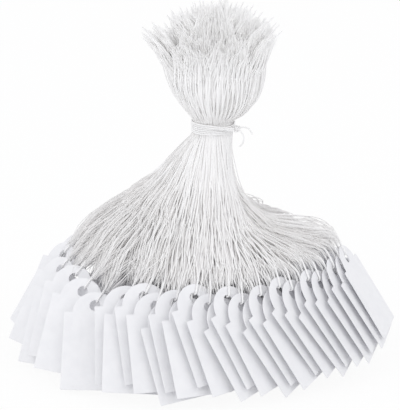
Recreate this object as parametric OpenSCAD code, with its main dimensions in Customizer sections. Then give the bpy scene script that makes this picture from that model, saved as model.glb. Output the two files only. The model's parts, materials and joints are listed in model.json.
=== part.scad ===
// A bunch of strung price tags. Domed cards stand in a skirt, each hung on its own loop of
// string. All the strings are gathered and tied at one neck, and their ends stand up as a tuft.

/* [Card] */
// Width of a card
card_w = 28; // [26:0.5:30]
// Height of a card from its square end to the crown of its dome
card_h = 44.5; // [42:0.5:48]
// Thickness of the card stock
card_t = 0.4; // [0.3:0.05:0.5]
// Radius of the domed head
dome_r = 10.35; // [9.5:0.05:11]
// Shoulders below the crown
shoulder_depth = 9.3; // [8.5:0.1:10]
// Diameter of the punched hole
hole_d = 4.8; // [4.4:0.1:5.4]
// Centre of the hole below the crown
hole_depth = 6.2; // [5.8:0.1:6.8]

/* [String] */
// Diameter of a string
string_d = 0.85; // [0.7:0.05:0.9]
// Clear space between a string and the edge of its hole
thread_clear = 0.3; // [0.2:0.05:0.4]
// Clear space between the two legs of a string in the neck
leg_clear = 0.15; // [0.1:0.05:0.3]
// Clear space between neighbouring strings in the neck
strand_clear = 0.25; // [0.2:0.05:0.5]

/* [Skirt] */
// Half width of the outer ring of holes, from left to right
ring_a = 66.5; // [64:0.5:70]
// Half depth of the outer ring of holes, from front to back
ring_b = 61.5; // [60:0.5:64]
// Distance of the middle of the rings to the right of the origin
ring_x = -0.6; // [-2:0.1:1]
// Number of outer cards
outer_n = 48; // [44:1:48]
// Number of outer cards that stand close together at the front
front_n = 24; // [22:1:25]
// Number of these that are fanned like a deck at the right
fan_n = 16; // [12:1:17]
// Distance by which the last fanned card stands out of the ring
fan_out = 14; // [13.5:0.5:15]
// Distance by which the last fanned card is drawn up its string
fan_lift = 15; // [10:0.5:16]
// Number of cards in the inner ring
inner_n = 30; // [24:1:30]
// Number of cards in the core
core_n = 12; // [8:1:12]
// Lean of an outer card away from upright
lean = 30; // [26:1:34]
// Lean of the last fanned card away from upright
last_lean = 32; // [30:1:34]
// Lean of an inner card away from upright
inner_lean = 28; // [24:1:30]
// Lean of a core card away from upright
core_lean = 20; // [16:1:24]
// Most by which the fanned cards swing to one side
fan_swing = 15; // [8:0.5:16]
// Angle by which the cards face past the outward direction
lead = 35; // [32:1:40]
// The same angle on the last fanned card
last_lead = 2; // [-4:1:4]
// Clear space between one ring of cards and the next
layer_clear = 1.5; // [1:0.1:3]
// Most that a card is drawn up its string above its neighbours
draw_up = 10.5; // [8:0.5:11]
// Height of the lowest outer card over the table
stand_clear = 1.4; // [1.2:0.1:2]
// Most that a card hangs askew
askew = 6; // [0:0.5:6.5]

/* [Neck] */
// Height of the middle of the neck
neck_z = 107; // [100:1:115]
// Distance of the neck to the right of the origin
neck_x = 6.5; // [0:0.5:8]
// Diameter of the tie
tie_d = 0.9; // [0.7:0.05:1.1]
// Rise of the tie in one turn
tie_pitch = 1.65; // [1.6:0.05:2]
// Number of turns of the tie
tie_turns = 3; // [2:1:4]
// Clear space between the tie and the strings
tie_clear = 0.3; // [0.2:0.05:0.5]

/* [Tuft] */
// Height of the tuft above the neck
tuft_h = 58; // [50:1:66]
// Most that the strings spread out at the top of the tuft
tuft_flare = 22; // [18:1:26]
// Most by which the outer ends of the tuft stand lower than the middle
tuft_fall = 15; // [8:1:22]
// Tilt of the outermost ends away from upright
tip_tilt = 50; // [40:1:70]

/* [Hidden] */
$fn = 96;
golden = 0.618034;
card_white = [0.93, 0.93, 0.95];
string_white = [0.94, 0.93, 0.91];
up_z = [0, 0, 1];

// Turns are counted from the front towards the right. The outer cards run from behind the right side,
// round the back and the left to one that stands clear, and then close together to the end of the deck
back_turns = [98, 314];
front_turns = [329.5, 435];
back_n = outer_n - front_n;
deck_card = outer_n - 1 - fan_n;
// How the back cards draw closer together, and how far each card strays from its even place
back_curve = 0.9;
turn_askew = 0.2;
facing_askew = 0.1;
// How late in the deck the cards stand out of the ring, and how much of a card's own place is left there
fan_out_curve = 2.5;
fan_loose = 0.35;
// The turns of the first outer and the first inner string in the neck
outer_first = 116;
inner_first = 98;

card_below = card_h - hole_depth;
card_body = card_h - shoulder_depth;

// Each ring clears the right edges of the cards outside it with the left edges of its own
edge_step = card_w * sin(lead) + layer_clear;
inner_step = edge_step + draw_up * sin(lean);
core_step = inner_step + edge_step + hole_depth * (sin(inner_lean) - sin(core_lean));

// The bend of a string round the head of its card, and its straight run past the dome
bend_r = 1.1 * string_d;
seat_up = hole_d / 2 - string_d / 2 - thread_clear;
bend_steps = [-90, -45, 0, 45, 90];
past_dome = 3;
run_up = hole_depth + past_dome;

// Strings stand in the neck in three rings of pairs: for the core, the inner cards and the outer cards
pair_gap = string_d + leg_clear;
neck_step = pair_gap + string_d + strand_clear;
core_r = core_n * (string_d + strand_clear) / (2 * PI) + pair_gap / 2;
inner_r = max(core_r + neck_step, inner_n * pair_gap / (2 * PI) + pair_gap / 2);
neck_r = max(inner_r + neck_step, outer_n * pair_gap / (2 * PI) + pair_gap / 2);
neck_rings = [core_r, inner_r, neck_r];
neck_margin = 2;
neck_h = tie_turns * tie_pitch + tie_d + neck_margin;
neck_foot = neck_z - neck_h / 2;
neck_head = neck_z + neck_h / 2;

// Points along each leg of a string, as shares of the way from card to neck and from neck to tip
outer_steps = [[0.3, 0.55, 0.72, 0.86, 1], [0.35, 0.7, 1]];
inner_steps = [[0.3, 0.6, 0.82, 1], [0.4, 0.75, 1]];
string_sides = 4;
// The pull of the card on the curve of a string. The pull of the neck on it, and the way that it leaves
// the neck, each at the right and at the left
low_handle = 12;
high_handle = [55, 24];
spread = [-6, 42];
// How far the outer strings flare before the inner ones, and the pull of each end of a plume on its curve
flare_curve = 1.5;
plume_rise = 0.36 * tuft_h;
plume_bend = 0.3 * tuft_h;
// The way that the outermost strings leave the neck upwards, at the right and at the left
plume_lean = [58, 30];
tip_uneven = 6;
// The ends of the tuft draw together into locks
lock_n = 7;
lock_turn = 20;
lock_pull = 0.4;

// The tie
tie_r = neck_r + pair_gap / 2 + string_d / 2 + tie_clear + tie_d / 2;
tie_steps = 24;
tie_sides = 6;
tie_turn = 62;
tie_rise = tie_turns * tie_pitch;
tail_sides = 6;
// The ends of the tie leave the winding over a quarter of a turn: out first, and level with the knot after
end_steps = tie_steps / 4;
end_out_curve = 1.5;
end_level_curve = 3;

// The knot has two lobes side by side, and the ends of the tie come straight into them
knot_r = 1.6 * tie_d;
lobe_step = 0.9 * tie_d;
knot_clear = 0.2;
knot_out = tie_r + tie_d / 2 + knot_clear + knot_r;
knot_reach = lobe_step + knot_r + knot_clear;
end_rise = 0.6 * tie_d;
knot_turn = asin((knot_reach + 2 * tie_d) / knot_out);

function unit(v) = v / norm(v);
function outward(turn) = [sin(turn), -cos(turn), 0];
function sideways(turn) = [cos(turn), sin(turn), 0];
function part_of(k, salt) = (k * golden + salt) % 1;
function either_way(k, salt) = 2 * part_of(k, salt) - 1;
function bezier(p, t) =
    (1 - t)^3 * p[0] + 3 * (1 - t)^2 * t * p[1] + 3 * (1 - t) * t^2 * p[2] + t^3 * p[3];
function between(ends, share) = ends[0] + (ends[1] - ends[0]) * share;
function oval_r(turn, a, b) = a * b / norm([b * sin(turn), a * cos(turn)]);

// A card hangs at: the turn of its string in the neck, its facing, its lean, its swing, the centre of
// its hole and the ring of its string in the neck
function drop(swing, tilt) =
    (card_w / 2 * abs(sin(swing)) + card_below * cos(swing)) * cos(tilt) + card_t / 2 * sin(tilt);
function card_up(facing, tilt) = cos(tilt) * up_z - sin(tilt) * outward(facing);
function card_normal(facing, tilt) = sin(tilt) * up_z + cos(tilt) * outward(facing);
function hang(neck_turn, turn, facing, tilt, swing, radius, rise, drawn, ring) =
    [neck_turn, facing, tilt, swing,
     [ring_x, 0, drop(swing, tilt) + rise] + radius * outward(turn) + drawn * card_up(facing, tilt), ring];

function fan_share(k) = max(0, (k - deck_card) / fan_n);
function own_share(k) = between([1, fan_loose], fan_share(k));
function outer_turn(k) =
    (k < back_n
        ? between(back_turns, (k / (back_n - 1))^back_curve)
        : between(front_turns, (k - back_n) / (front_n - 1)))
    + turn_askew * own_share(k) * either_way(k, 0.15);
function outer_lead(k) =
    between([lead, last_lead], fan_share(k)) + facing_askew * own_share(k) * either_way(k, 0.9);
function outer_lean(k) = between([lean, last_lean], fan_share(k));
function outer_swing(k) = askew * own_share(k) * either_way(k, 0.55) + fan_swing * sin(180 * fan_share(k));
function outer_drawn(k) =
    draw_up * own_share(k) * part_of(k, 0.83) + fan_lift * fan_share(k)^fan_out_curve;
function outer_hang(k) =
    let (turn = outer_turn(k))
    hang(outer_first + 360 / outer_n * k, turn, turn + outer_lead(k), outer_lean(k), outer_swing(k),
         oval_r(turn, ring_a, ring_b) + fan_out * fan_share(k)^fan_out_curve,
         stand_clear, outer_drawn(k), 2);
function standing(k, count, tilt, step, ring) =
    let (turn = inner_first + 360 / count * k)
    hang(turn, turn, turn + lead, tilt, 0, oval_r(turn, ring_a - step, ring_b - step), 0, 0, ring);

outer_hangs = [for (k = [0 : outer_n - 1]) outer_hang(k)];
inner_hangs = [for (k = [0 : inner_n - 1]) standing(k, inner_n, inner_lean, inner_step, 1)];
core_hangs = [for (k = [0 : core_n - 1]) standing(k, core_n, core_lean, core_step, 0)];

// A direction that leans from upright along a spoke, and the turn of a string's end, drawn towards its lock
function rising(spoke, tilt) = sin(tilt) * spoke + cos(tilt) * up_z;
function locked(turn) =
    let (lock_step = 360 / lock_n,
         middle = lock_turn + lock_step * round((turn - lock_turn) / lock_step))
    between([turn, middle], lock_pull);

// One leg of a string from the straight run past the dome, through the neck, to its tip in the tuft
function leg(h, k, side, steps) =
    let (normal = card_normal(h[1], h[2]),
         way = thread_way(h),
         spoke = outward(h[0]),
         ring_r = neck_rings[h[5]],
         leg_r = ring_r + side * pair_gap / 2,
         share = leg_r / (neck_r + pair_gap / 2),
         left = (1 - sin(h[0])) / 2,
         foot = [neck_x, 0, neck_foot] + ring_r * spoke,
         start = h[4] + run_up * way,
         path = [start, start + low_handle * way,
                 foot - between(high_handle, left) * rising(spoke, -between(spread, left)), foot],
         head = [neck_x, 0, neck_head] + leg_r * spoke,
         tip_z = neck_head + tuft_h - tuft_fall * share^2 - tip_uneven * part_of(k, 0.2 + side / 4),
         lock = outward(locked(h[0])),
         tip = [neck_x, 0, tip_z] + (leg_r + tuft_flare * share^flare_curve) * lock,
         plume = [head, head + plume_rise * rising(spoke, share * between(plume_lean, left)),
                  tip - plume_bend * rising(lock, share * tip_tilt), tip])
    concat([start + side * bend_r * normal],
           [for (t = steps[0])
               let (low = (1 - t)^2)
               bezier(path, t) + side * (low * bend_r * normal + (1 - low) * pair_gap / 2 * spoke)],
           [head],
           [for (t = steps[1]) bezier(plume, t)]);

// The way that a string leaves its hole: towards the neck, in the plane of the card
function thread_way(h) =
    let (normal = card_normal(h[1], h[2]),
         pull = [neck_x, 0, neck_foot] - h[4])
    unit(pull - (pull * normal) * normal);

function reversed(list) = [for (i = [len(list) - 1 : -1 : 0]) list[i]];
function string_route(h, k, steps) =
    let (normal = card_normal(h[1], h[2]),
         way = thread_way(h),
         middle = h[4] + (seat_up + bend_r) * way)
    concat(reversed(leg(h, k, -1, steps)),
           [for (a = bend_steps) middle + bend_r * (sin(a) * normal - cos(a) * way)],
           leg(h, k, 1, steps));

// A tube round a route: a ring of points at each route point, square to the way through it
function way_at(route, i) = unit(route[min(i + 1, len(route) - 1)] - route[max(i - 1, 0)]);
function ring_at(centre, way, across, radius, sides) =
    let (u = unit(across - (across * way) * way),
         v = cross(way, u))
    [for (s = [0 : sides - 1]) centre + radius * (cos(360 * s / sides) * u + sin(360 * s / sides) * v)];
function tube_points(route, across, radius, sides) =
    [for (i = [0 : len(route) - 1]) each ring_at(route[i], way_at(route, i), across, radius, sides)];
function tube_faces(rings, sides, first) =
    concat([for (i = [0 : rings - 2], s = [0 : sides - 1])
               let (a = first + i * sides + s,
                    b = first + i * sides + (s + 1) % sides)
               each [[a, a + sides, b], [b, a + sides, b + sides]]],
           [for (s = [1 : sides - 2]) [first, first + s, first + s + 1]],
           [for (s = [1 : sides - 2])
               let (last = first + (rings - 1) * sides)
               [last, last + s + 1, last + s]]);

module tubes(routes, acrosses, diameter, sides) {
    rings = len(routes[0]);
    points = [for (i = [0 : len(routes) - 1]) each tube_points(routes[i], acrosses[i], diameter / 2, sides)];
    faces = [for (i = [0 : len(routes) - 1]) each tube_faces(rings, sides, i * rings * sides)];
    polyhedron(points, faces);
}

// The winding of the tie, which swings out and level with the knot at both ends
function tie_point(i) =
    let (last = tie_turns * tie_steps,
         turn = tie_turn + knot_turn + (360 * tie_turns - 2 * knot_turn) * i / last,
         ends = max(0, 1 - min(i, last - i) / end_steps),
         wound_z = tie_rise * (i / last - 0.5),
         end_z = sign(wound_z) * end_rise,
         z = neck_z + wound_z + (end_z - wound_z) * ends^end_level_curve)
    [neck_x, 0, z] + (tie_r + (knot_out - tie_r) * ends^end_out_curve) * outward(turn);
function tie_end(side, out) =
    knot_place + side * (knot_reach + out) * sideways(tie_turn) - side * end_rise * up_z;
knot_place = [neck_x, 0, neck_z] + knot_out * outward(tie_turn);
tie_route = concat([tie_end(1, 0), tie_end(1, tie_d)],
                   [for (i = [0 : tie_turns * tie_steps]) tie_point(i)],
                   [tie_end(-1, tie_d), tie_end(-1, 0)]);
function from_stretch(p, a, b) =
    norm(p - a - max(0, min(1, (p - a) * (b - a) / ((b - a) * (b - a)))) * (b - a));
tie_gap = min([for (i = [0 : len(tie_route) - 1], j = [i + tie_steps / 2 : len(tie_route) - 2])
                  from_stretch(tie_route[i], tie_route[j], tie_route[j + 1])]) - tie_d;
echo(least_gap_in_the_tie = tie_gap);

// The two loose ends of the tie, as steps out, sideways and up from the knot
tail_down = [[1.7, 0, -0.6], [2.9, 0, -1.6], [3.6, 0.3, -3.4],
             [3.4, 0.6, -5.4], [2.4, 0.9, -7.2], [1, 1, -8.6]];
tail_up = [[1.7, 0.2, 0.6], [3, 0.4, 1], [4.4, 0.8, 1],
           [5.6, 1.4, 0.4], [6.4, 2, -0.8], [6.8, 2.6, -2.4]];
function from_knot(steps) =
    [for (p = steps) knot_place + p[0] * outward(tie_turn) + p[1] * sideways(tie_turn) + p[2] * up_z];

function tag_name(k) = str("tag_", k < 9 ? "0" : "", k + 1);

// A card lies flat here, with the centre of its hole at the origin and its crown towards +Y
module card() {
    linear_extrude(card_t, center = true)
        difference() {
            union() {
                translate([-card_w / 2, -card_below])
                    square([card_w, card_body]);
                translate([0, hole_depth - dome_r])
                    circle(dome_r);
            }
            circle(d = hole_d);
        }
}

module hung_card(h) {
    translate(h[4])
        rotate([90 - h[2], 0, h[1]])
            rotate([0, 0, h[3]])
                card();
}

module tag(k) {
    color(card_white)
        hung_card(outer_hangs[k]);
}

module inner_tags() {
    color(card_white)
        for (h = inner_hangs)
            hung_card(h);
}

module core_tags() {
    color(card_white)
        for (h = core_hangs)
            hung_card(h);
}

module strings(hangs, steps) {
    color(string_white)
        tubes([for (k = [0 : len(hangs) - 1]) string_route(hangs[k], k, steps)],
              [for (h = hangs) sideways(h[0])], string_d, string_sides);
}

module outer_strings() {
    strings(outer_hangs, outer_steps);
}

module inner_strings() {
    strings(concat(inner_hangs, core_hangs), inner_steps);
}

module neck_tie() {
    color(string_white)
        tubes([tie_route], [up_z], tie_d, tie_sides);
}

module tie_knot() {
    color(string_white)
        for (side = [-1, 1])
            translate(knot_place + side * lobe_step * sideways(tie_turn))
                sphere(knot_r);
}

module tie_tails() {
    color(string_white)
        tubes([from_knot(tail_down), from_knot(tail_up)], [sideways(tie_turn), sideways(tie_turn)],
              tie_d, tail_sides);
}

for (k = [0 : outer_n - 1])
    tag(k);
inner_tags();
core_tags();
outer_strings();
inner_strings();
neck_tie();
tie_knot();
tie_tails();
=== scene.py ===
"""A tied bunch of strung price tags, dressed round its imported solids.

Domed cards hang in a skirt, each on its own loop of twisted string. The strings are gathered and tied at
one neck, and their ends stand up as a tuft. Lengths are in metres and angles in degrees. Turns are counted
from the front towards the right.
"""

import json
import logging
import math
from dataclasses import dataclass, field
from enum import Enum

import bpy
import numpy as np
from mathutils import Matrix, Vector


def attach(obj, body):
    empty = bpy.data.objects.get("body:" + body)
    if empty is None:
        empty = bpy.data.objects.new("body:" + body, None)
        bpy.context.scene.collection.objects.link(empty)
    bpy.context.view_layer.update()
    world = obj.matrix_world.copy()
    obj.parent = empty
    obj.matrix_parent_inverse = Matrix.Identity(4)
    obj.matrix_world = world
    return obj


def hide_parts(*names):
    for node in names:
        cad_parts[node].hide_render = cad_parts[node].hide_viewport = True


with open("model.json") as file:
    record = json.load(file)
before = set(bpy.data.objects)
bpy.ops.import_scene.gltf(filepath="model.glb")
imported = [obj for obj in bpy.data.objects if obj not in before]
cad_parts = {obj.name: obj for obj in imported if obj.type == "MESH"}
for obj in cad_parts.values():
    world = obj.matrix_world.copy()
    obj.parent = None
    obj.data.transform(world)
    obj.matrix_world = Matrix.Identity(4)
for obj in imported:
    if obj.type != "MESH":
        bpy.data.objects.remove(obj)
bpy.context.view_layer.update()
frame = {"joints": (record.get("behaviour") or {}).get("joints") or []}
LOG = logging.getLogger("strung_tags")

MM = 0.001
GOLDEN = 0.618034
LAYER_SALT = 31
THREAD_CREASE = 80
LIGHT_BOUNCES = 16
WHITE = (1.0, 1.0, 1.0, 1.0)
UP = np.array([0.0, 0.0, 1.0])
ROOT_BODY = "bunch"
Array = np.ndarray
Material = bpy.types.Material
Socket = bpy.types.NodeSocket


class Layer(Enum):
    """The rings of cards, from the middle of the skirt outwards."""

    CORE = "core"
    INNER = "inner"
    OUTER = "outer"


CARD_COUNTS = {Layer.CORE: 12, Layer.INNER: 30, Layer.OUTER: 48}


class Leg(Enum):
    """The two legs of a string: behind its card and in front of it."""

    BACK = -1
    FRONT = 1


def unit(vector: Array) -> Array:
    """Vectors of length one along the last axis."""
    return vector / np.linalg.norm(vector, axis=-1, keepdims=True)


def sine(degrees: float) -> float:
    """The sine of an angle in degrees."""
    return math.sin(math.radians(degrees))


def cosine(degrees: float) -> float:
    """The cosine of an angle in degrees."""
    return math.cos(math.radians(degrees))


def outward(turn: float) -> Array:
    """The level direction away from the middle at a turn."""
    return np.array([sine(turn), -cosine(turn), 0.0])


def sideways(turn: float) -> Array:
    """The level direction round the skirt at a turn."""
    return np.array([cosine(turn), sine(turn), 0.0])


def rising(spoke: Array, tilt: float) -> Array:
    """A direction that leans from upright along a spoke."""
    return sine(tilt) * spoke + cosine(tilt) * UP


def part_of(order: float, salt: float) -> float:
    """A share from 0 to 1 that is spread evenly over the cards by the golden ratio."""
    return (order * GOLDEN + salt) % 1


def either_way(order: float, salt: float) -> float:
    """The same share from -1 to 1."""
    return 2 * part_of(order, salt) - 1


def between(ends: tuple, share: float) -> float:
    """A value at a share of the way from one end to the other."""
    return ends[0] + (ends[1] - ends[0]) * share


def bezier(corners: list[Array], shares: Array) -> Array:
    """A cubic curve: the sum of its corners times (1-t)^3, 3 (1-t)^2 t, 3 (1-t) t^2 and t^3.

    Args:
        corners: Its four corners.
        shares: The shares t at which it is wanted, from 0 to 1.

    Returns:
        One point for each share.
    """
    t = shares[:, None]
    return ((1 - t) ** 3 * corners[0] + 3 * (1 - t) ** 2 * t * corners[1]
            + 3 * (1 - t) * t ** 2 * corners[2] + t ** 3 * corners[3])


def through_points(points: Array, per_stretch: int) -> Array:
    """A smooth route through a few points: on each stretch a cubic with the slopes of the points beside it.

    Args:
        points: The points to pass through.
        per_stretch: How many points each stretch gets.

    Returns:
        The points of the route.
    """
    slopes = np.gradient(points, axis=0) / 3
    starts, ends = points[:-1], points[1:]
    corners = [starts, starts + slopes[:-1], ends - slopes[1:], ends]
    shares = np.linspace(0.0, 1.0, per_stretch, endpoint=False)
    curve = bezier([corner[:, None] for corner in corners], shares)
    return np.vstack([curve.reshape(-1, 3), points[-1:]])


def lengths_along(route: Array) -> Array:
    """The length from a route's start to each of its points."""
    return np.concatenate([[0.0], np.cumsum(np.linalg.norm(np.diff(route, axis=0), axis=1))])


def evenly_spaced(route: Array, step: float) -> Array:
    """The same route with points about a step apart.

    Args:
        route: Points of the route.
        step: The length wanted between neighbouring points.

    Returns:
        The new points, with both ends kept.
    """
    along = lengths_along(route)
    places = np.linspace(0.0, along[-1], max(2, round(along[-1] / step) + 1))
    return np.stack([np.interp(places, along, route[:, axis]) for axis in range(3)], axis=1)


def sides_along(route: Array, across: Array) -> tuple[Array, Array]:
    """Two directions at each point of a route that are square to it and to each other.

    Args:
        route: Points of the route.
        across: A direction that the route never runs along.

    Returns:
        The direction nearest to across, and the other one.
    """
    way = unit(np.gradient(route, axis=0))
    side = unit(across - (way @ across)[:, None] * way)
    return side, np.cross(way, side)


def grid_quads(index: Array) -> Array:
    """The faces between the rows and columns of a grid of point numbers."""
    corners = [index[:-1, :-1], index[:-1, 1:], index[1:, 1:], index[1:, :-1]]
    return np.stack(corners, axis=-1).reshape(-1, 4)


def tag_name(order: int) -> str:
    """The name of an outer card's node and body."""
    return f"tag_{order + 1:02d}"


def linked(name: str, data: bpy.types.ID) -> bpy.types.Object:
    """Puts a new object into the scene, at the origin.

    Args:
        name: The object's name.
        data: Its mesh, camera or lamp.

    Returns:
        The object.
    """
    made = bpy.data.objects.new(name, data)
    bpy.context.scene.collection.objects.link(made)
    return made


def aim(made: bpy.types.Object, at: Vector, target: Vector) -> None:
    """Stands a camera or lamp at a place, looking at a target."""
    made.location = at
    made.rotation_euler = (target - at).to_track_quat("-Z", "Y").to_euler()


def place(made: bpy.types.Object, body: str, node: str) -> None:
    """Sets a piece on its body and in the place of its node.

    Args:
        made: The piece.
        body: The body that it moves with.
        node: The node that it stands for.
    """
    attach(made, body)
    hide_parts(node)
    LOG.info("%s on %s: %d faces", made.name, body, len(made.data.polygons))


@dataclass
class Surface:
    """A closed surface under way: its points, its faces, and a flat place and a looseness for each point."""

    points: Array
    quads: Array
    flat: Array
    caps: list[list[int]] = field(default_factory=list)
    loose: float | Array = 0.0

    @property
    def looseness(self) -> Array:
        """The looseness of each point."""
        return np.broadcast_to(self.loose, len(self.points))

    @staticmethod
    def joined(parts: list["Surface"]) -> "Surface":
        """Several surfaces as one.

        Args:
            parts: The surfaces.

        Returns:
            One surface, in which each of them keeps its own points.
        """
        placed = list(zip(parts, np.cumsum([0] + [len(part.points) for part in parts[:-1]]).tolist()))
        return Surface(
            points=np.vstack([part.points for part in parts]),
            quads=np.vstack([part.quads + first for part, first in placed]),
            flat=np.vstack([part.flat for part in parts]),
            caps=[[index + first for index in cap] for part, first in placed for cap in part.caps],
            loose=np.concatenate([part.looseness for part in parts]))

    def to_object(self, name: str, material: Material, crease: float = THREAD_CREASE) -> bpy.types.Object:
        """Puts the surface into a new object at the origin.

        Args:
            name: The object's name.
            material: Its finish.
            crease: The angle past which an edge stays sharp.

        Returns:
            The object, linked to the scene.
        """
        mesh = bpy.data.meshes.new(name)
        mesh.from_pydata(self.points.tolist(), [], self.quads.tolist() + self.caps)
        corners = np.zeros(len(mesh.loops), dtype=np.int32)
        mesh.loops.foreach_get("vertex_index", corners)
        flat = mesh.uv_layers.new(name="flat")
        flat.data.foreach_set("uv", self.flat[corners].astype(np.float32).ravel())
        loose = mesh.attributes.new("loose", "FLOAT", "POINT")
        loose.data.foreach_set("value", self.looseness.astype(np.float32))
        mesh.polygons.foreach_set("use_smooth", np.ones(len(mesh.polygons), dtype=bool))
        mesh.set_sharp_from_angle(angle=math.radians(crease))
        mesh.materials.append(material)
        mesh.update()
        return linked(name, mesh)


class Finish:
    """The nodes of a material or a sky under way, with short calls to add nodes and links."""

    def __init__(self, owner: Material | bpy.types.World, shader: str = "Principled BSDF") -> None:
        """Starts from the shader and the output that a new owner has.

        Args:
            owner: The new material or sky.
            shader: The name of its shader's node.
        """
        owner.use_nodes = True
        self.owner, self.tree = owner, owner.node_tree
        self.shader = self.tree.nodes[shader]

    def fill(self, node: bpy.types.Node, inputs: dict) -> None:
        """Sets sockets of a node.

        Args:
            node: The node.
            inputs: Values, or sockets to link, by the name or number of the node's own socket.
        """
        for key, value in inputs.items():
            if isinstance(value, Socket):
                self.tree.links.new(value, node.inputs[key])
            else:
                node.inputs[key].default_value = value

    def add(self, kind: str, inputs: dict, **settings: str) -> bpy.types.Node:
        """Adds a node.

        Args:
            kind: The node's type.
            inputs: What its sockets get.
            settings: Values of its properties.

        Returns:
            The node.
        """
        node = self.tree.nodes.new(kind)
        for key, value in settings.items():
            setattr(node, key, value)
        self.fill(node, inputs)
        return node

    def here(self) -> Socket:
        """The object's own coordinates."""
        return self.add("ShaderNodeTexCoord", {}).outputs["Object"]

    def flat(self) -> Socket:
        """The flat places of the surface."""
        return self.add("ShaderNodeUVMap", {}, uv_map="flat").outputs["UV"]

    def math(self, operation: str, first: object, second: object = 0.0) -> Socket:
        """The result of a Math node on two values or sockets."""
        return self.add("ShaderNodeMath", {0: first, 1: second}, operation=operation).outputs[0]

    def weighted(self, value: Socket, weight: float, other: object) -> Socket:
        """A value times a weight, plus another."""
        return self.math("ADD", self.math("MULTIPLY", value, weight), other)

    def noise(self, size: float, detail: float) -> Socket:
        """A noise from 0 to 1 with features of a size."""
        inputs = {"Vector": self.here(), "Scale": 1 / size, "Detail": detail}
        return self.add("ShaderNodeTexNoise", inputs).outputs["Fac"]

    def ramp(self, value: Socket, ends: tuple) -> Socket:
        """A value taken smoothly from 0 at one end to 1 at the other."""
        inputs = {"Value": value, "From Min": ends[0], "From Max": ends[1]}
        return self.add("ShaderNodeMapRange", inputs, interpolation_type="SMOOTHSTEP").outputs["Result"]

    def mix(self, share: Socket, first: object, second: object) -> Socket:
        """A colour between two colours or sockets, which are numbers 6 and 7 of a Mix node's sockets."""
        return self.add("ShaderNodeMix", {0: share, 6: first, 7: second}, data_type="RGBA").outputs[2]

    def bump(self, height: Socket, distance: float, strength: float) -> None:
        """Lets a height stand out of the surface by a distance."""
        inputs = {"Height": height, "Distance": distance, "Strength": strength}
        self.fill(self.shader, {"Normal": self.add("ShaderNodeBump", inputs).outputs["Normal"]})

    def show(self, kind: str, share: float, output: str) -> None:
        """Lets rays from the camera, a mirror or glass see a white shader in the place of its own.

        Args:
            kind: The type of the white shader.
            share: How much of it they see.
            output: The name of the output node.
        """
        rays = self.add("ShaderNodeLightPath", {}).outputs
        either = self.math("MAXIMUM", rays["Is Camera Ray"], rays["Is Glossy Ray"])
        seen = self.math("MULTIPLY", self.math("MAXIMUM", either, rays["Is Transmission Ray"]), share)
        white = self.add(kind, {"Color": WHITE, "Strength": 1.0})
        mix = self.add("ShaderNodeMixShader", {0: seen, 1: self.shader.outputs[0], 2: white.outputs[0]})
        self.fill(self.tree.nodes[output], {"Surface": mix.outputs[0]})


@dataclass(frozen=True)
class CardFinish:
    """Smooth white card stock: a faint cloudy formation, fine fibres and a pressed ring round the hole."""

    face: tuple = (0.85, 0.85, 0.862, 1.0)
    cloud: tuple = (0.825, 0.825, 0.84, 1.0)
    cloud_size: float = 5 * MM
    cloud_detail: float = 3.0
    cloud_range: tuple = (0.35, 0.7)
    fibre_size: float = 0.22 * MM
    fibre_detail: float = 4.0
    fibre_height: float = 0.35
    fibre_roughness: float = 0.16
    least_roughness: float = 0.54
    specular: float = 0.35
    hole_radius: float = 2.4
    ring_width: float = 1.1
    ring_rise: tuple = (0.15, 0.5)
    ring_fall: tuple = (0.7, 1.1)
    relief: float = 0.03 * MM
    relief_strength: float = 0.6

    def material(self) -> Material:
        """Makes the card's material.

        Returns:
            The material, on the card's own flat millimetres with its hole at the origin.
        """
        made = Finish(bpy.data.materials.new("card_stock"))
        cloud = made.ramp(made.noise(self.cloud_size, self.cloud_detail), self.cloud_range)
        fibre = made.noise(self.fibre_size, self.fibre_detail)
        from_hole = made.add("ShaderNodeVectorMath", {0: made.flat()}, operation="LENGTH").outputs["Value"]
        past_rim = made.math("DIVIDE", made.math("SUBTRACT", from_hole, self.hole_radius), self.ring_width)
        inside = made.math("SUBTRACT", 1.0, made.ramp(past_rim, self.ring_fall))
        ring = made.math("MULTIPLY", made.ramp(past_rim, self.ring_rise), inside)
        made.fill(made.shader, {
            "Base Color": made.mix(cloud, self.face, self.cloud),
            "Roughness": made.weighted(fibre, self.fibre_roughness, self.least_roughness),
            "Specular IOR Level": self.specular})
        made.bump(made.weighted(fibre, self.fibre_height, ring), self.relief, self.relief_strength)
        return made.owner


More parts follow.
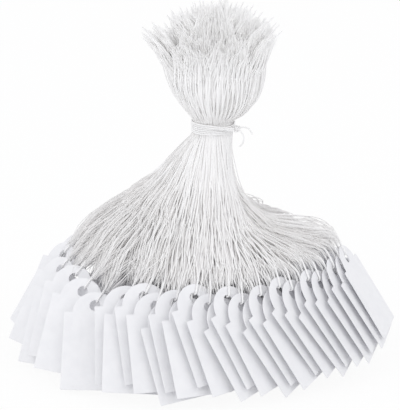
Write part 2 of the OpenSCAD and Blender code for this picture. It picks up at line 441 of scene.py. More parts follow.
@dataclass(frozen=True)
class ThreadFinish:
    """Soft white cotton with fine fibres, shade painted into the ply grooves and light painted onto the tuft.
    """

    crown: tuple = (0.93, 0.927, 0.924, 1.0)
    # Painted shade: the grooves between the plies are coloured darker than the crowns.
    painted_groove_shade: tuple = (0.88, 0.876, 0.872, 1.0)
    floss: tuple = (0.91, 0.903, 0.897, 1.0)
    # Painted light: the floss turns to this paler colour over these heights, in the tuft.
    ends: tuple = (0.965, 0.962, 0.958, 1.0)
    tuft_light_heights: tuple = (104 * MM, 124 * MM)
    groove_shade_range: tuple = (-1.0, 0.4)
    groove_shade_share: float = 0.7
    patch_share: float = 0.35
    patch_size: float = 9 * MM
    patch_detail: float = 2.0
    fibre_size: float = 0.12 * MM
    fibre_detail: float = 3.0
    roughness: float = 0.9
    specular: float = 0.15
    sheen: float = 0.2
    sheen_roughness: float = 0.5
    relief: float = 0.05 * MM
    relief_strength: float = 0.4

    def material(self, name: str, plies: int) -> Material:
        """Makes a thread's material.

        Args:
            name: The material's name.
            plies: How many plies go round the thread.

        Returns:
            The material, on the thread's own turns along it and round it.
        """
        made = Finish(bpy.data.materials.new(name))
        around = made.add("ShaderNodeSeparateXYZ", {0: made.flat()}).outputs["Y"]
        height = made.add("ShaderNodeSeparateXYZ", {0: made.here()}).outputs["Z"]
        loose = made.add("ShaderNodeAttribute", {}, attribute_name="loose").outputs["Fac"]
        # Painted shade: the colour darkens in the grooves between the plies, with random patches of tone
        # mixed in.
        wave = made.math("COSINE", made.math("MULTIPLY", around, 2 * math.pi * plies))
        patch = made.math("MULTIPLY", made.noise(self.patch_size, self.patch_detail), self.patch_share)
        share = made.weighted(made.ramp(wave, self.groove_shade_range), self.groove_shade_share, patch)
        twisted = made.mix(share, self.painted_groove_shade, self.crown)
        # Painted light: the floss is coloured paler higher up, in the tuft.
        lying = made.mix(made.ramp(height, self.tuft_light_heights), self.floss, self.ends)
        made.fill(made.shader, {
            "Base Color": made.mix(loose, twisted, lying),
            "Roughness": self.roughness,
            "Specular IOR Level": self.specular,
            "Sheen Weight": self.sheen,
            "Sheen Roughness": self.sheen_roughness})
        made.bump(made.noise(self.fibre_size, self.fibre_detail), self.relief, self.relief_strength)
        return made.owner


@dataclass(frozen=True)
class Hang:
    """How one card hangs: its place in the skirt, its plane, its hole and the gap to a neighbour's hole."""

    order: int
    turn: float
    swing: float
    hole: Array
    normal: Array
    layer: Layer
    gap: float

    @property
    def key(self) -> int:
        """A number that sets the waves of the card's string."""
        return 2 * self.order + LAYER_SALT * len(self.layer.value)

    @property
    def axes(self) -> Array:
        """The card's own directions, turned in its plane by its swing.

        Returns:
            Across the card, up it and out of its face, as rows.
        """
        across = sideways(math.degrees(math.atan2(self.normal[0], -self.normal[1])))
        up, c, s = np.cross(self.normal, across), cosine(self.swing), sine(self.swing)
        return np.stack([c * across + s * up, c * up - s * across, self.normal])


@dataclass(frozen=True)
class Card:
    """A blank card: a square end, two shoulders, a domed head and a punched hole."""

    width: float = 28 * MM
    height: float = 44.5 * MM
    thickness: float = 0.4 * MM
    dome_radius: float = 10.35 * MM
    shoulder_depth: float = 9.3 * MM
    hole_diameter: float = 4.8 * MM
    hole_depth: float = 6.2 * MM
    corner: float = 0.5 * MM
    corner_turns: tuple = (0, 30, 60, 90)
    edge: float = 0.07 * MM
    crease: float = 30
    bow: float = 0.35 * MM
    bow_shares: tuple = (1.0, 0.6, 0.8)
    bow_salts: tuple = (0.37, 0.71, 0.13)
    columns: int = 7
    side_columns: int = 3
    square_rows: int = 12
    hole_rows: int = 17
    dome_rows: int = 9
    dome_to: float = 88
    same: float = 1e-5 * MM

    @property
    def below(self) -> float:
        """The height of the card below the centre of its hole."""
        return self.height - self.hole_depth

    def half_grid(self) -> list[Array]:
        """The right half of the face as two grids of flat points.

        A point is x = h(y) + s (w(y) - h(y)) at height y, where h is the half width of the hole at that
        height, or 0, and w that of the dome. The strip beside the dome's width runs from there to the card's
        edge, which the corners draw in by r (1 - cos a).

        Returns:
            The grid under the dome and the strip beside it, each as rows of points.
        """
        centre = self.hole_depth - self.dome_radius
        shoulder = self.hole_depth - self.shoulder_depth
        hole = self.hole_diameter / 2
        dome_width = math.sqrt(self.dome_radius ** 2 - (shoulder - centre) ** 2)
        corner = np.radians(self.corner_turns)
        ends, drawn = self.corner * (1 - np.sin(corner)), self.corner * (1 - np.cos(corner))
        middle = np.linspace(self.corner - self.below, shoulder - self.corner, self.square_rows)[1:-1]
        square_rows = np.concatenate([ends[::-1] - self.below, middle, shoulder - ends])
        square_half = self.width / 2 - np.concatenate([drawn[::-1], 0 * middle, drawn])
        hole_rows = hole * np.sin(np.radians(np.linspace(-90.0, 90.0, self.hole_rows)))
        dome_from = math.degrees(math.asin((hole - centre) / self.dome_radius))
        dome_turns = np.radians(np.linspace(dome_from, self.dome_to, self.dome_rows)[1:])
        rows = np.concatenate([square_rows, hole_rows, centre + self.dome_radius * np.sin(dome_turns)])
        reach = np.sqrt(np.maximum(self.dome_radius ** 2 - (rows - centre) ** 2, 0.0))
        outer = np.where(rows > shoulder - self.same, np.minimum(reach, dome_width), dome_width)
        inner = np.sqrt(np.maximum(hole ** 2 - rows ** 2, 0.0))
        grids = []
        for y, first, last, columns in ((rows, inner, outer, self.columns),
                                        (square_rows, dome_width, square_half, self.side_columns)):
            x = np.linspace(np.broadcast_to(first, y.shape), last, columns, axis=1)
            grids.append(np.stack([x, np.broadcast_to(y[:, None], x.shape)], axis=-1))
        return grids

    def face(self) -> tuple[Array, Array]:
        """The whole flat face, with the points that its grids share joined.

        Returns:
            Flat points and faces that run anticlockwise.
        """
        points, quads, first = [], [], 0
        for grid in self.half_grid():
            half = grid.reshape(-1, 2)
            right = grid_quads(np.arange(len(half)).reshape(grid.shape[:2]))
            points += [half, half * [-1.0, 1.0]]
            quads += [right + first, right[:, ::-1] + first + len(half)]
            first += 2 * len(half)
        stacked = np.vstack(points)
        rounded = np.round(stacked / self.same) + 0.0
        _, keep, merged = np.unique(rounded, axis=0, return_index=True, return_inverse=True)
        return stacked[keep], merged.reshape(-1)[np.vstack(quads)]

    def shell(self) -> Surface:
        """The card lying flat, as a closed shell with its cut edges eased.

        The front and the back are the face drawn in by the eased edge at its rim. Two rings at the full
        outline join them.

        Returns:
            The shell, with the hole's centre at the origin, and its flat places in millimetres.
        """
        face, quads = self.face()
        edges = np.stack([quads, np.roll(quads, -1, axis=1)], axis=-1).reshape(-1, 2)
        keys = np.sort(edges, axis=1)
        _, number, count = np.unique(keys, axis=0, return_inverse=True, return_counts=True)
        rim = edges[count[number.reshape(-1)] == 1]
        along = face[rim[:, 1]] - face[rim[:, 0]]
        outs = unit(np.stack([along[:, 1], -along[:, 0]], axis=1))
        out = np.zeros_like(face)
        np.add.at(out, rim[:, 0], outs)
        np.add.at(out, rim[:, 1], outs)
        ids = np.unique(rim)
        out[ids] = unit(out[ids])
        drawn, ring, half = face - self.edge * out, face[ids], self.thickness / 2
        levels = ((drawn, half), (drawn, -half), (ring, half - self.edge), (ring, self.edge - half))
        points = np.vstack([np.column_stack([flat, np.full(len(flat), z)]) for flat, z in levels])
        number_on_rim = np.full(len(face), -1)
        number_on_rim[ids] = np.arange(len(ids))
        upper = 2 * len(face) + number_on_rim[rim]
        lines = [rim, upper, upper + len(ids), rim + len(face)]
        walls = [np.column_stack([over[:, ::-1], under]) for over, under in zip(lines, lines[1:])]
        faces = np.vstack([quads, quads[:, ::-1] + len(face)] + walls)
        return Surface(points, faces, points[:, :2] / MM)

    def hung(self, hang: Hang) -> Surface:
        """The card at its place, a little bowed along and across, as card is after handling.

        Args:
            hang: How the card hangs.

        Returns:
            The card's shell in the part's frame. Its bow is b (y/H)^2 + c (x/W)^2 + d x y / (W H), which is
            0 at the hole.
        """
        shell = self.shell()
        x, y = shell.points[:, 0] / (self.width / 2), shell.points[:, 1] / self.below
        bows = [share * self.bow * either_way(hang.order, salt)
                for share, salt in zip(self.bow_shares, self.bow_salts)]
        lift = bows[0] * y ** 2 + bows[1] * x ** 2 + bows[2] * x * y
        local = shell.points + lift[:, None] * UP
        return Surface(hang.hole + local @ hang.axes, shell.quads, shell.flat)


@dataclass(frozen=True)
class Skirt:
    """The rings of cards, as the solids have them."""

    ring_a: float = 66.5 * MM
    ring_b: float = 61.5 * MM
    ring_x: float = -0.6 * MM
    fan_count: int = 16
    lean: float = 30
    inner_lean: float = 28
    core_lean: float = 20
    fan_swing: float = 15
    fan_loose: float = 0.35
    lead: float = 35
    layer_clear: float = 1.5 * MM
    draw_up: float = 10.5 * MM
    askew: float = 6
    outer_first: float = 116
    inner_first: float = 98
    most_gap: float = 11 * MM
    card: Card = Card()

    def outer(self) -> list[Hang]:
        """The outer cards, each on its own hinge.

        Returns:
            How each of them hangs: askew by its own part, and with its neighbours in the fanned deck. Its gap
            is the wider of those to its two neighbours.
        """
        joints = {joint["child"]: joint for joint in frame["joints"]}
        hinges = [joints[tag_name(order)] for order in range(CARD_COUNTS[Layer.OUTER])]
        holes = np.array([hinge["pos_m"] for hinge in hinges])
        after = np.linalg.norm(np.roll(holes, -1, axis=0) - holes, axis=1)
        gaps = np.minimum(np.maximum(after, np.roll(after, 1)), self.most_gap)
        hangs = []
        for order, hinge in enumerate(hinges):
            turn = self.outer_first + 360 / len(hinges) * order
            share = max(0.0, (order - (len(hinges) - 1 - self.fan_count)) / self.fan_count)
            own = self.askew * between((1, self.fan_loose), share) * either_way(order, salt=0.55)
            swing = own + self.fan_swing * math.sin(math.pi * share)
            normal = unit(np.array(hinge["axis"]))
            hangs.append(Hang(order, turn, swing, holes[order], normal, Layer.OUTER, float(gaps[order])))
        return hangs

    def standing(self, layer: Layer) -> list[Hang]:
        """The cards of a ring that stands on the table behind the outer cards.

        Args:
            layer: The inner ring or the core.

        Returns:
            How each of its cards hangs, with its hole at the radius a b / |(b sin, a cos)| of the ring.
        """
        count, tilt, first = CARD_COUNTS[layer], self.inner_lean, 0
        edge_step = self.card.width * sine(self.lead) + self.layer_clear
        step = edge_step + self.draw_up * sine(self.lean)
        if layer is Layer.CORE:
            tilt, first = self.core_lean, CARD_COUNTS[Layer.INNER]
            step += edge_step + self.card.hole_depth * (sine(self.inner_lean) - sine(tilt))
        c, s = cosine(tilt), sine(tilt)
        height = self.card.below * c + self.card.thickness / 2 * s
        a, b = self.ring_a - step, self.ring_b - step
        hangs = []
        for order in range(count):
            turn = self.inner_first + 360 / count * order
            spoke = outward(turn)
            radius = a * b / math.hypot(b * spoke[0], a * spoke[1])
            hole = np.array([self.ring_x, 0.0, height]) + radius * spoke
            normal = s * UP + c * outward(turn + self.lead)
            hangs.append(Hang(first + order, turn, 0.0, hole, normal, layer, 2 * math.pi * radius / count))
        return hangs

    def build(self, finish: Material) -> None:
        """Makes every card: the outer ones on their own bodies, the others in two groups.

        Args:
            finish: The cards' finish.
        """
        for hang in self.outer():
            name = tag_name(hang.order)
            made = self.card.hung(hang).to_object(f"card_{name[-2:]}", finish, self.card.crease)
            place(made, name, name)
        for layer in (Layer.INNER, Layer.CORE):
            group = Surface.joined([self.card.hung(hang) for hang in self.standing(layer)])
            made = group.to_object(f"{layer.value}_cards", finish, self.card.crease)
            place(made, ROOT_BODY, f"{layer.value}_tags")


@dataclass(frozen=True)
class Thread:
    """A twisted thread: plies laid round each other."""

    diameter: float
    plies: int = 2
    lay: float = 3.4 * MM
    sides: int = 8
    lobe: float = 0.12
    first_corner: float = 0.0
    taper: float = 0.0
    taper_length: float = 30 * MM
    tip: float = 0.04

    def sweep(self, route: Array, across: Array) -> Surface:
        """A thread along a route.

        The section's radius at an angle a and a length s is r (1 + k cos(n (a - 2 pi s / lay))) / (1 + k), so
        that its n plies turn once in a lay. Towards the ends r tapers and then closes.

        Args:
            route: Evenly spaced points along the thread.
            across: A direction that the route never runs along.

        Returns:
            The closed surface, with turns along the twist and round the thread as its flat places.
        """
        along = lengths_along(route)
        u, v = sides_along(route, across)
        angle = math.radians(self.first_corner) + np.linspace(0.0, 2 * math.pi, self.sides, endpoint=False)
        to_end = np.minimum(along, along[-1] - along)
        thin = 1 - self.taper * np.clip(1 - to_end / self.taper_length, 0.0, 1.0)
        close = np.sqrt(np.clip(to_end / (0.5 * self.diameter), self.tip, 1.0))
        round_ply = angle[None, :] - 2 * math.pi * along[:, None] / self.lay
        swell = (1 + self.lobe * np.cos(self.plies * round_ply)) / (1 + self.lobe)
        radius = self.diameter / 2 * (thin * close)[:, None] * swell
        ring = np.cos(angle)[None, :, None] * u[:, None] + np.sin(angle)[None, :, None] * v[:, None]
        points = route[:, None] + radius[..., None] * ring
        index = np.arange(radius.size).reshape(radius.shape)
        quads = grid_quads(np.column_stack([index, index[:, 0]]))
        turns = np.broadcast_to(along[:, None] / self.lay, radius.shape)
        flat = np.stack([turns, round_ply / (2 * math.pi)], axis=-1)
        caps = [index[0, ::-1].tolist(), index[-1].tolist()]
        return Surface(points.reshape(-1, 3), quads, flat.reshape(-1, 2), caps)


@dataclass
class Route:
    """The centre line of a string, and how far its loose filaments may stand off at each point."""

    points: Array
    loose: Array

    def evenly(self, step: float) -> "Route":
        """The same route with points about a step apart."""
        points, along = evenly_spaced(self.points, step), lengths_along(self.points)
        return Route(points, np.interp(np.linspace(0.0, along[-1], len(points)), along, self.loose))


@dataclass(frozen=True)
class Floss:
    """The loose filaments of a soft string, which lie beside it and fill the space to its neighbours."""

    filament: Thread = Thread(0.5 * MM, sides=3, lobe=0.0, first_corner=90, taper=0.4, taper_length=12 * MM)
    step: float = 3.5 * MM
    late: tuple = (0.8, 2.2)
    deep: float = 0.25
    deep_rate: float = 0.7
    stray: float = 0.1
    stray_length: tuple = (22 * MM, 52 * MM)
    sunk: float = 0.0
    ragged: float = 3.5 * MM

    def filaments(self, route: Route, turn: float, key: float, count: int) -> list[Surface]:
        """The filaments of a string.

        Where the string is loose by a share d of its most, filament j of n stands by d^q (2 (j + 1/2) / n - 1
        + w sin(2 pi s / l + p)) of that to its side, and by a part of it in or out, with its own wave length
        l, start p and lateness q. Its ends are cut at its own places short of the tips.

        Args:
            route: The string's centre line.
            turn: The turn at which it stands in the neck.
            key: A number that sets the filaments' waves.
            count: How many filaments there are.

        Returns:
            One surface for each filament.
        """
        line, across = route.evenly(self.step), sideways(turn)
        along = lengths_along(line.points)
        u, v = sides_along(line.points, across)
        most = line.loose.max()
        sunk = self.sunk * (line.loose / most)[:, None] * outward(turn)
        made = []
        for number in range(count):
            own = part_of(count * key + number, salt=0.41)
            other = part_of(count * key + number, salt=0.77)
            phase = 2 * math.pi * (along / between(self.stray_length, own) + other)
            side = 2 * (number + 0.5) / count - 1 + self.stray * np.sin(phase)
            deep = self.deep * (2 * other - 1 + np.cos(self.deep_rate * phase + own))
            stand = most * (line.loose / most) ** between(self.late, part_of(number, other))
            off = stand[:, None] * (side[:, None] * u + deep[:, None] * v) - sunk
            kept = (along >= self.ragged * (own - 0.5)) & (along < along[-1] - self.ragged * other)
            strand = self.filament.sweep((line.points + off)[kept], across)
            strand.loose = 1.0
            made.append(strand)
        return made


@dataclass(frozen=True)
class Waves:
    """The small waves of a string: sines of unlike lengths across it."""

    size: float
    fine: float
    turns: tuple = (1.2, 2.6)
    heights: tuple = (0.4, 1.0)
    weights: tuple = (1.0, 0.4, 0.16)
    side_rates: tuple = (1.0, 2.7, 6.1)
    out_rates: tuple = (0.8, 2.3, 6.1)
    out_share: float = 0.6

    def shift(self, t: Array, fade: Array, key: float, turn: float) -> Array:
        """The shift of each place on a stretch, faded where the string is held.

        Sideways and outwards it is a sum of three sines w sin(r t + p), with the two shorter ones made less.

        Args:
            t: Places along the stretch, from 0 to 1.
            fade: How much of the waves each place gets.
            key: A number that sets the waves' starts and lengths.
            turn: The turn at which the string stands in the neck.

        Returns:
            One shift for each place.
        """
        first, second = [2 * math.pi * part_of(key, salt) for salt in (0.11, 0.47)]
        rate = 2 * math.pi * between(self.turns, part_of(key, salt=0.83))
        height = self.size * between(self.heights, part_of(key, salt=0.29))
        weights = np.array(self.weights) * [1.0, self.fine, self.fine]
        later = second + math.pi / 2
        side = np.sin(rate * t * self.side_rates + [first, second, first]) @ weights
        out = np.sin(rate * t * self.out_rates + [later, first, later]) @ weights
        wave = np.outer(side, sideways(turn)) + self.out_share * np.outer(out, outward(turn))
        return height * fade * wave


@dataclass(frozen=True)
class Neck:
    """The tied neck: where the strings stand in it, in rings of pairs."""

    x: float = 6.5 * MM
    z: float = 107 * MM
    string: float = 0.85 * MM
    leg_clear: float = 0.15 * MM
    strand_clear: float = 0.25 * MM
    tie: float = 0.9 * MM
    tie_pitch: float = 1.65 * MM
    tie_turns: int = 3
    tie_clear: float = 0.3 * MM
    margin: float = 2 * MM

    @property
    def pair_gap(self) -> float:
        """The distance between the two legs of a string."""
        return self.string + self.leg_clear

    @property
    def rings(self) -> dict[Layer, float]:
        """The rings of pairs, each as wide as its own pairs and the ring inside it ask.

        Returns:
            Their radii.
        """
        around, half = 2 * math.pi, self.pair_gap / 2
        step = self.pair_gap + self.string + self.strand_clear
        radius = CARD_COUNTS[Layer.CORE] * (self.string + self.strand_clear) / around + half
        radii = {Layer.CORE: radius}
        for layer in (Layer.INNER, Layer.OUTER):
            radius = max(radius + step, CARD_COUNTS[layer] * self.pair_gap / around + half)
            radii[layer] = radius
        return radii

    @property
    def height(self) -> float:
        """The height over which the strings run upright."""
        return self.tie_turns * self.tie_pitch + self.tie + self.margin

    @property
    def middle(self) -> Array:
        """The middle of the neck."""
        return np.array([self.x, 0.0, self.z])

    @property
    def foot(self) -> Array:
        """The middle of the neck's lower end."""
        return self.middle - self.height / 2 * UP

    @property
    def head(self) -> Array:
        """The middle of the neck's upper end."""
        return self.middle + self.height / 2 * UP

    @property
    def tie_radius(self) -> float:
        """The radius of the tie's winding."""
        return self.rings[Layer.OUTER] + self.pair_gap / 2 + self.string / 2 + self.tie_clear + self.tie / 2


@dataclass(frozen=True)
class Strings:
    """The loops of string, from tip to tip through a card's hole, with their waves and their floss."""

    card: Card = Card()
    neck: Neck = Neck()
    thread: Thread = Thread(0.95 * MM, taper=0.35)
    step: float = 0.65 * MM
    hidden_thread: Thread = Thread(0.95 * MM, sides=6, taper=0.35)
    hidden_step: float = 1.1 * MM
    bend_share: float = 1.1
    bend_points: int = 13
    thread_clear: float = 0.3 * MM
    past_dome: float = 3 * MM
    low_handle: float = 12 * MM
    high_handle: tuple = (55 * MM, 24 * MM)
    spread: tuple = (-6, 42)
    tuft_height: float = 58 * MM
    tuft_flare: float = 22 * MM
    tuft_fall: float = 15 * MM
    tip_tilt: float = 50
    tip_uneven: float = 6 * MM
    flare_curve: float = 1.5
    plume_rise: float = 0.36
    plume_bend: float = 0.3
    plume_lean: tuple = (58, 30)
    lock_count: int = 7
    lock_turn: float = 20
    lock_pull: float = 0.4
    lock_stray: float = 4.0 * MM
    low_waves: Waves = Waves(1.2 * MM, fine=0.5)
    tuft_waves: Waves = Waves(0.7 * MM, fine=0.3)
    tuft_wave_curve: float = 1.5
    leg_unlike: float = 0.25
    outer_floss: Floss = Floss(sunk=1.0 * MM)
    hidden_floss: Floss = Floss(deep=0.5)
    spacing: float = 0.42 * MM
    reach: float = 0.78
    reach_curve: float = 0.6
    fringe: float = 2.2 * MM
    fringe_open: float = 0.1
    end_filament: Thread = Thread(0.62 * MM, sides=3, lobe=0.0, first_corner=90, taper=0.5,
                                  taper_length=14 * MM)
    end_floss: Floss = Floss(end_filament, deep=0.4)
    end_count: int = 13
    neck_loose: float = 0.8 * MM
    tuft_loose: tuple = (9.0 * MM, 5.5 * MM)
    tuft_loose_curve: float = 0.5
    tip_gather: float = 0.8
    declared_most: int = 40
    group: int = 8
    exit_from_tip: float = 28 * MM
    stretch_points: int = 160

    @property
    def bend(self) -> float:
        """The radius of the bend through the hole."""
        return self.bend_share * self.neck.string

    def way(self, hang: Hang) -> Array:
        """The way that a string leaves its hole: towards the neck, in the plane of the card."""
        pull = self.neck.foot - hang.hole
        return unit(pull - (pull @ hang.normal) * hang.normal)

    def leg(self, hang: Hang, side: Leg) -> Route:
        """One leg of a string from the straight run past the dome to its tip in the tuft.

        Both stretches are cubic curves. Small waves, which die away at the card and in the neck, lie over
        them. In the tuft, the strings of one lock are drawn together and stray the same way.

        Args:
            hang: How the card hangs.
            side: Which of the two legs.

        Returns:
            The route from the card to the tip.
        """
        way, spoke = self.way(hang), outward(hang.turn)
        sign, neck = side.value, self.neck
        left = (1 - spoke[0]) / 2
        ring = neck.rings[hang.layer]
        radius = ring + sign * neck.pair_gap / 2
        share = radius / (neck.rings[Layer.OUTER] + neck.pair_gap / 2)
        key = hang.key + sign * self.leg_unlike
        shares = np.linspace(0, 1, self.stretch_points)
        t = shares[:, None]

        foot = neck.foot + ring * spoke
        start = hang.hole + (self.card.hole_depth + self.past_dome) * way
        pull = between(self.high_handle, left) * rising(spoke, -between(self.spread, left))
        low = bezier([start, start + self.low_handle * way, foot - pull, foot], shares)
        near = (1 - t) ** 2
        low += sign * (near * self.bend * hang.normal + (1 - near) * neck.pair_gap / 2 * spoke)
        low += self.low_waves.shift(t, 4 * t * (1 - t), key, hang.turn)

        lock_step = 360 / self.lock_count
        number = round((hang.turn - self.lock_turn) / lock_step)
        lock_turn = between((hang.turn, self.lock_turn + lock_step * number), self.lock_pull)
        lock = outward(lock_turn)
        head = neck.head + radius * spoke
        tip_z = self.tuft_height - self.tuft_fall * share ** 2
        tip_z -= self.tip_uneven * part_of(hang.order, salt=0.2 + sign / 4)
        tip = neck.head + tip_z * UP + (radius + self.tuft_flare * share ** self.flare_curve) * lock
        rise = self.plume_rise * self.tuft_height * rising(spoke, share * between(self.plume_lean, left))
        fall = self.plume_bend * self.tuft_height * rising(lock, share * self.tip_tilt)
        high = bezier([head, head + rise, tip - fall, tip], shares)
        high += self.tuft_waves.shift(t, t ** self.tuft_wave_curve, key, hang.turn)
        aside, ahead = [either_way(number % self.lock_count, salt) for salt in (0.29, 0.63)]
        high += self.lock_stray * t ** 2 * (aside * sideways(lock_turn) + ahead * lock)

        opened = self.fringe_open + (1 - self.fringe_open) * shares
        low_loose = self.reach * hang.gap * np.sin(math.pi * opened ** self.reach_curve)
        gathered = 1 - self.tip_gather * shares ** 3
        high_loose = self.tuft_loose[hang.layer is Layer.OUTER] * shares ** self.tuft_loose_curve * gathered
        loose = np.concatenate([self.neck_loose * shares + low_loose, self.neck_loose + high_loose])
        return Route(np.vstack([low, high]), loose)

    def route(self, hang: Hang) -> Array:
        """A whole string: down one leg, round the bend through the hole and up the other leg.

        Args:
            hang: How the card hangs.

        Returns:
            Points along it from tip to tip. Its bend is half a circle square to the card.
        """
        way = self.way(hang)
        seat = self.card.hole_diameter / 2 - self.neck.string / 2 - self.thread_clear
        middle = hang.hole + (seat + self.bend) * way
        a = np.radians(np.linspace(-90, 90, self.bend_points))[:, None]
        bend = middle + self.bend * (np.sin(a) * hang.normal - np.cos(a) * way)
        back, front = [self.leg(hang, side).points for side in Leg]
        return np.vstack([back[::-1], bend, front])

    def floss(self, hangs: list[Hang], floss: Floss) -> list[Surface]:
        """The loose filaments of several strings.

        They run along each leg, from a fringe above the card's head to the tip. Stouter ones are added along
        its end in the tuft.

        Args:
            hangs: How the cards of the strings hang.
            floss: The filaments along a leg.

        Returns:
            One surface for each string.
        """
        made = []
        for hang in hangs:
            strands, count = [], round(hang.gap / self.spacing)
            for side in Leg:
                leg, apart = self.leg(hang, side), side.value / 3
                hem = leg.points[:1] - self.fringe * self.way(hang)
                fringed = Route(np.vstack([hem, leg.points]), np.append(leg.loose[:1], leg.loose))
                end = Route(leg.points[self.stretch_points - 1:], leg.loose[self.stretch_points - 1:])
                strands += floss.filaments(fringed, hang.turn, hang.key + apart, count)
                strands += self.end_floss.filaments(end, hang.turn, hang.key - apart, self.end_count)
            made.append(Surface.joined(strands))
        return made

    def gather(self, name: str, parts: list[Surface], finish: Material, node: str) -> None:
        """Joins surfaces into a few pieces that stand for a node.

        Args:
            name: What the pieces are called, before their numbers.
            parts: The surfaces, one for each string.
            finish: Their finish.
            node: The node of strings that they stand for.
        """
        for first in range(0, len(parts), self.group):
            group = Surface.joined(parts[first:first + self.group])
            made = group.to_object(f"{name}_{first // self.group + 1}", finish)
            place(made, ROOT_BODY, node)

    def build(self, skirt: Skirt, finish: Material) -> None:
        """Makes every string. The longest outer ones are pieces of their own.

        Args:
            skirt: The cards that hang on the strings.
            finish: The strings' finish.
        """
        outer = skirt.outer()
        strings = [(hang, evenly_spaced(self.route(hang), self.step)) for hang in outer]
        strings.sort(key=lambda string: -lengths_along(string[1])[-1])
        swept = [self.thread.sweep(route, sideways(hang.turn)) for hang, route in strings]
        for (hang, route), surface in zip(strings[:self.declared_most], swept):
            made = surface.to_object(f"string_{hang.order + 1:02d}", finish)
            place(made, ROOT_BODY, "outer_strings")
        self.gather("back_strings", swept[self.declared_most:], finish, "outer_strings")
        self.gather("outer_floss", self.floss(outer, self.outer_floss), finish, "outer_strings")
        for layer in (Layer.INNER, Layer.CORE):
            hangs = skirt.standing(layer)
            hidden = [self.hidden_thread.sweep(evenly_spaced(self.route(hang), self.hidden_step),
                                               sideways(hang.turn)) for hang in hangs]
            self.gather(f"{layer.value}_strings", hidden, finish, "inner_strings")
            self.gather(f"{layer.value}_floss", self.floss(hangs, self.hidden_floss), finish, "inner_strings")


@dataclass(frozen=True)
class Tie:
    """The string that is wound round the neck, with its knot and its two loose ends."""

    neck: Neck = Neck()
    turn: float = 62
    strand: Thread = Thread(0.8 * MM, plies=3, lay=4 * MM, sides=12)
    strand_off: float = 0.42 * MM
    step: float = 0.5 * MM
    per_turn: int = 48
    out_curve: float = 1.5
    level_curve: float = 3
    knot_share: float = 1.6
    knot_clear: float = 0.2 * MM
    knot_reach: float = 0.9
    knot_level: float = 0.6
    knot_strand: Thread = Thread(0.81 * MM, plies=3, lay=4 * MM, sides=12)
    knot_step: float = 0.25 * MM
    knot_points: int = 120
    knot_middle: float = 0.95 * MM
    knot_lobe: float = 0.5 * MM
    knot_wide: float = 1.25
    knot_deep: float = 1.1
    tail_step: float = 0.4 * MM
    tail_points: int = 12
    tail_down: tuple = ((0, 0, 0), (1.7, 0, -0.6), (2.9, 0, -1.6), (3.6, 0.3, -3.4),
                        (3.4, 0.6, -5.4), (2.4, 0.9, -7.2), (1, 1, -8.6))
    tail_up: tuple = ((0, 0, 0), (1.7, 0.2, 0.6), (3, 0.4, 1), (4.4, 0.8, 1),
                      (5.6, 1.4, 0.4), (6.4, 2, -0.8), (6.8, 2.6, -2.4))

    @property
    def knot_radius(self) -> float:
        """The radius of the space that the knot takes."""
        return self.knot_share * self.neck.tie

    @property
    def knot_out(self) -> float:
        """The distance of the knot from the middle of the neck."""
        return self.neck.tie_radius + self.neck.tie / 2 + self.knot_clear + self.knot_radius

    @property
    def knot_place(self) -> Array:
        """The middle of the knot."""
        return self.neck.middle + self.knot_out * outward(self.turn)

    def at_knot(self, local: Array) -> Array:
        """Points given as out of the neck, round it and up from the middle of the knot."""
        return self.knot_place + local @ np.stack([outward(self.turn), sideways(self.turn), UP])

    def winding(self) -> Array:
        """The wound stretch: an even helix whose ends swing out to the knot and then level with it.

        Returns:
            Points along it, from one side of the knot to the other.
        """
        neck, beside = self.neck, sideways(self.turn)
        reach = self.knot_reach * neck.tie + self.knot_radius + self.knot_clear
        level = self.knot_level * neck.tie
        knot_turn = math.degrees(math.asin((reach + 2 * neck.tie) / self.knot_out))
        share = np.linspace(0, 1, self.per_turn * neck.tie_turns + 1)
        turn = np.radians(self.turn + knot_turn + (360 * neck.tie_turns - 2 * knot_turn) * share)
        ends = np.maximum(0, 1 - np.minimum(share, 1 - share) * 4 * neck.tie_turns)
        wound = neck.tie_turns * neck.tie_pitch * (share - 0.5)
        z = neck.z + wound + (np.sign(wound) * level - wound) * ends ** self.level_curve
        radius = neck.tie_radius + (self.knot_out - neck.tie_radius) * ends ** self.out_curve
        helix = np.stack([neck.x + radius * np.sin(turn), -radius * np.cos(turn), z], axis=1)
        first = self.knot_place + reach * beside - level * UP
        last = self.knot_place - reach * beside + level * UP
        return np.vstack([first, first + neck.tie * beside, helix, last - neck.tie * beside, last])

    def knot(self) -> Array:
        """The knot: a three-lobed line that goes twice round the way out of the neck.

        At an angle a it stands R + r cos(3a/2) from that way and r sin(3a/2) along it, made a little wider
        and deeper.

        Returns:
            Points along the line, with the first ones again at its end.
        """
        a = np.linspace(0, 4 * math.pi, self.knot_points + 1)[:-1]
        radius = self.knot_middle + self.knot_lobe * np.cos(1.5 * a)
        out = self.knot_deep * self.knot_lobe * np.sin(1.5 * a)
        line = np.stack([out, self.knot_wide * radius * np.cos(a), radius * np.sin(a)], axis=1)
        return self.at_knot(np.vstack([line, line[:2]]))

    def build(self, finish: Material) -> None:
        """Makes the winding, which is a doubled strand, the knot and the two loose ends.

        Args:
            finish: The tie's finish.
        """
        out, beside = outward(self.turn), sideways(self.turn)
        route = evenly_spaced(self.winding(), self.step)
        wound = [self.strand.sweep(route + side * self.strand_off * UP, UP) for side in (-1, 1)]
        knot = [self.knot_strand.sweep(evenly_spaced(self.knot(), self.knot_step), out)]
        tails = [through_points(self.at_knot(np.array(steps) * MM), self.tail_points)
                 for steps in (self.tail_down, self.tail_up)]
        ends = [self.strand.sweep(evenly_spaced(tail, self.tail_step), beside) for tail in tails]
        for name, node, parts in (("wound_tie", "neck_tie", wound), ("tied_knot", "tie_knot", knot),
                                  ("loose_ends", "tie_tails", ends)):
            place(Surface.joined(parts).to_object(name, finish), ROOT_BODY, node)


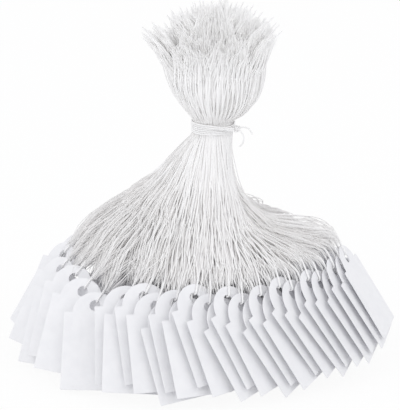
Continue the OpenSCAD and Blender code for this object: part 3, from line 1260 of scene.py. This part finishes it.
@dataclass(frozen=True)
class PhotoView:
    """The camera: a long lens a little above the bunch, as the photo has it."""

    elevation: float = 18
    distance: float = 1.2
    pixels_per_metre: float = 2170
    long_side: int = 410
    sensor: float = 36
    clip: tuple = (0.05, 20)
    target: tuple = (0.5 * MM, 0.0, 68.8 * MM)

    def build(self) -> None:
        """Makes the camera and sets it as the scene's."""
        data = bpy.data.cameras.new("photo_camera")
        data.sensor_width = self.sensor
        data.lens = self.sensor * self.distance * self.pixels_per_metre / self.long_side
        data.clip_start, data.clip_end = self.clip
        target = Vector(self.target)
        back = Vector((0, -cosine(self.elevation), sine(self.elevation)))
        bpy.context.scene.camera = linked("photo_camera", data)
        aim(bpy.context.scene.camera, target + self.distance * back, target)


@dataclass(frozen=True)
class Lamp:
    """A soft square lamp that points at the middle of the bunch."""

    name: str
    at: tuple
    power: float
    size: float = 0.8
    target: tuple = (0, 0, 70 * MM)

    def build(self) -> None:
        """Makes the lamp."""
        data = bpy.data.lights.new(self.name, "AREA")
        data.size, data.energy = self.size, self.power
        aim(linked(self.name, data), Vector(self.at), Vector(self.target))


@dataclass(frozen=True)
class Studio:
    """A white studio: a floor that keeps a faint shadow, a pale sky all round and two soft lamps."""

    sky: tuple = (0.97, 0.975, 1.0, 1.0)
    sky_strength: float = 0.95
    floor_white: tuple = (0.9, 0.9, 0.9, 1.0)
    floor_roughness: float = 0.9
    floor_size: float = 8.0
    floor_drop: float = 0.3 * MM
    floor_glow: float = 0.93
    lamps: tuple = (Lamp("key_lamp", (-0.6, -0.78, 0.9), 2.5), Lamp("fill_lamp", (0.9, -0.35, 0.75), 1.2))

    def build(self) -> None:
        """Makes the world, the floor and the lamps."""
        self.world()
        self.floor()
        for lamp in self.lamps:
            lamp.build()

    def world(self) -> None:
        """A pale sky that the camera sees as white."""
        made = Finish(bpy.data.worlds.new("studio_sky"), "Background")
        made.fill(made.shader, {"Color": self.sky, "Strength": self.sky_strength})
        made.show("ShaderNodeBackground", 1.0, "World Output")
        bpy.context.scene.world = made.owner

    def floor(self) -> None:
        """A white floor, part of whose white is its own, so that the shadow on it stays faint."""
        half, mesh = self.floor_size / 2, bpy.data.meshes.new("floor")
        ways = ((-1, -1), (1, -1), (1, 1), (-1, 1))
        mesh.from_pydata([(x * half, y * half, -self.floor_drop) for x, y in ways], [], [(0, 1, 2, 3)])
        made = Finish(bpy.data.materials.new("floor_white"))
        made.fill(made.shader, {"Base Color": self.floor_white, "Roughness": self.floor_roughness})
        made.show("ShaderNodeEmission", self.floor_glow, "Material Output")
        mesh.materials.append(made.owner)
        linked("floor", mesh)


def main() -> None:
    """Builds the view, the studio, the strings, the tie and the cards, in that order."""
    logging.basicConfig(level=logging.INFO, format="%(name)s: %(message)s")
    bpy.context.scene.view_settings.view_transform = "Standard"
    bpy.context.scene.cycles.max_bounces = LIGHT_BOUNCES
    bpy.context.scene.cycles.diffuse_bounces = LIGHT_BOUNCES
    PhotoView().build()
    Studio().build()
    skirt = Skirt()
    Strings().build(skirt, ThreadFinish().material("cotton_string", plies=2))
    Tie().build(ThreadFinish().material("cotton_tie", plies=3))
    skirt.build(CardFinish().material())


if __name__ == "__main__":
    main()
